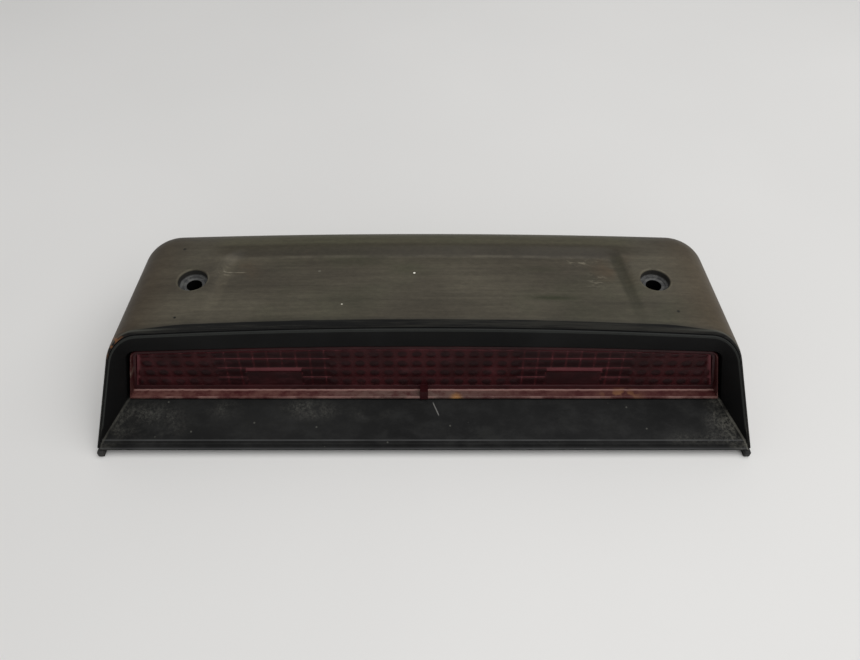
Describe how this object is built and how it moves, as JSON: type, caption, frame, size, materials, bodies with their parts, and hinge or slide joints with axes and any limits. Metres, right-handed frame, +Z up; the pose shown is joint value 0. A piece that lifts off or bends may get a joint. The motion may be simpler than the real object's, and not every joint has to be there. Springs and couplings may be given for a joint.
{
  "type": "third brake light",
  "caption": "Hooded surface-mounted third brake light with a wide red lens set back under the hood, twist-lock bulb holders and a base connector.",
  "frame": {"origin": "centre of the outline, on the plane the base seal rests on", "axes": "+X to the lamp's side along its length, +Y from the lens towards the rear of the hood, +Z up out of the mounting surface"},
  "size_m": [0.281, 0.1022, 0.0512],
  "materials": {
    "hood_plastic": "weathered satin",
    "bezel_plastic": "satin black",
    "lens_red": "glossy dark red",
    "rubber": "matt",
    "body_plastic": "matt grey",
    "connector_plastic": "matt black",
    "screw_steel": "zinc plated",
    "reflector_metal": "bright aluminised",
    "bulb_glass": "clear",
    "filament_wire": "bright wire",
    "brass": "bright",
    "lead_sheath": "matt sheath"
  },
  "bodies": {
    "lamp": {"hood": "hood_plastic", "bezel": "bezel_plastic", "lens": "lens_red", "lens_gasket": "rubber", "lamp_body": "body_plastic", "base_seal": "rubber", "connector_header": "connector_plastic", "lamp_screw_1": "screw_steel", "lamp_screw_2": "screw_steel", "lamp_screw_3": "screw_steel", "lamp_screw_4": "screw_steel", "reflector_left": "reflector_metal", "boss_seal_left": "rubber", "connector_pin_left": "brass", "lead_left": "lead_sheath", "reflector_right": "reflector_metal", "boss_seal_right": "rubber", "connector_pin_right": "brass", "lead_right": "lead_sheath"},
    "left_holder": {"bulb_holder_left": "connector_plastic", "holder_seal_left": "rubber", "bulb_left": "bulb_glass", "filament_left": "filament_wire", "contact_live_left": "brass", "contact_earth_left": "brass"},
    "right_holder": {"bulb_holder_right": "connector_plastic", "holder_seal_right": "rubber", "bulb_right": "bulb_glass", "filament_right": "filament_wire", "contact_live_right": "brass", "contact_earth_right": "brass"}
  },
  "joints": [
    {"name": "left_holder_twist", "type": "hinge", "parent": "lamp", "child": "left_holder", "pos_m": [-0.0644, -0.02322, 0.02447], "axis": [0, 0.9863, -0.165], "range_deg": [0, 45]},
    {"name": "right_holder_twist", "type": "hinge", "parent": "lamp", "child": "right_holder", "pos_m": [0.0644, -0.02322, 0.02447], "axis": [0, 0.9863, -0.165], "range_deg": [0, 45]}
  ]
}
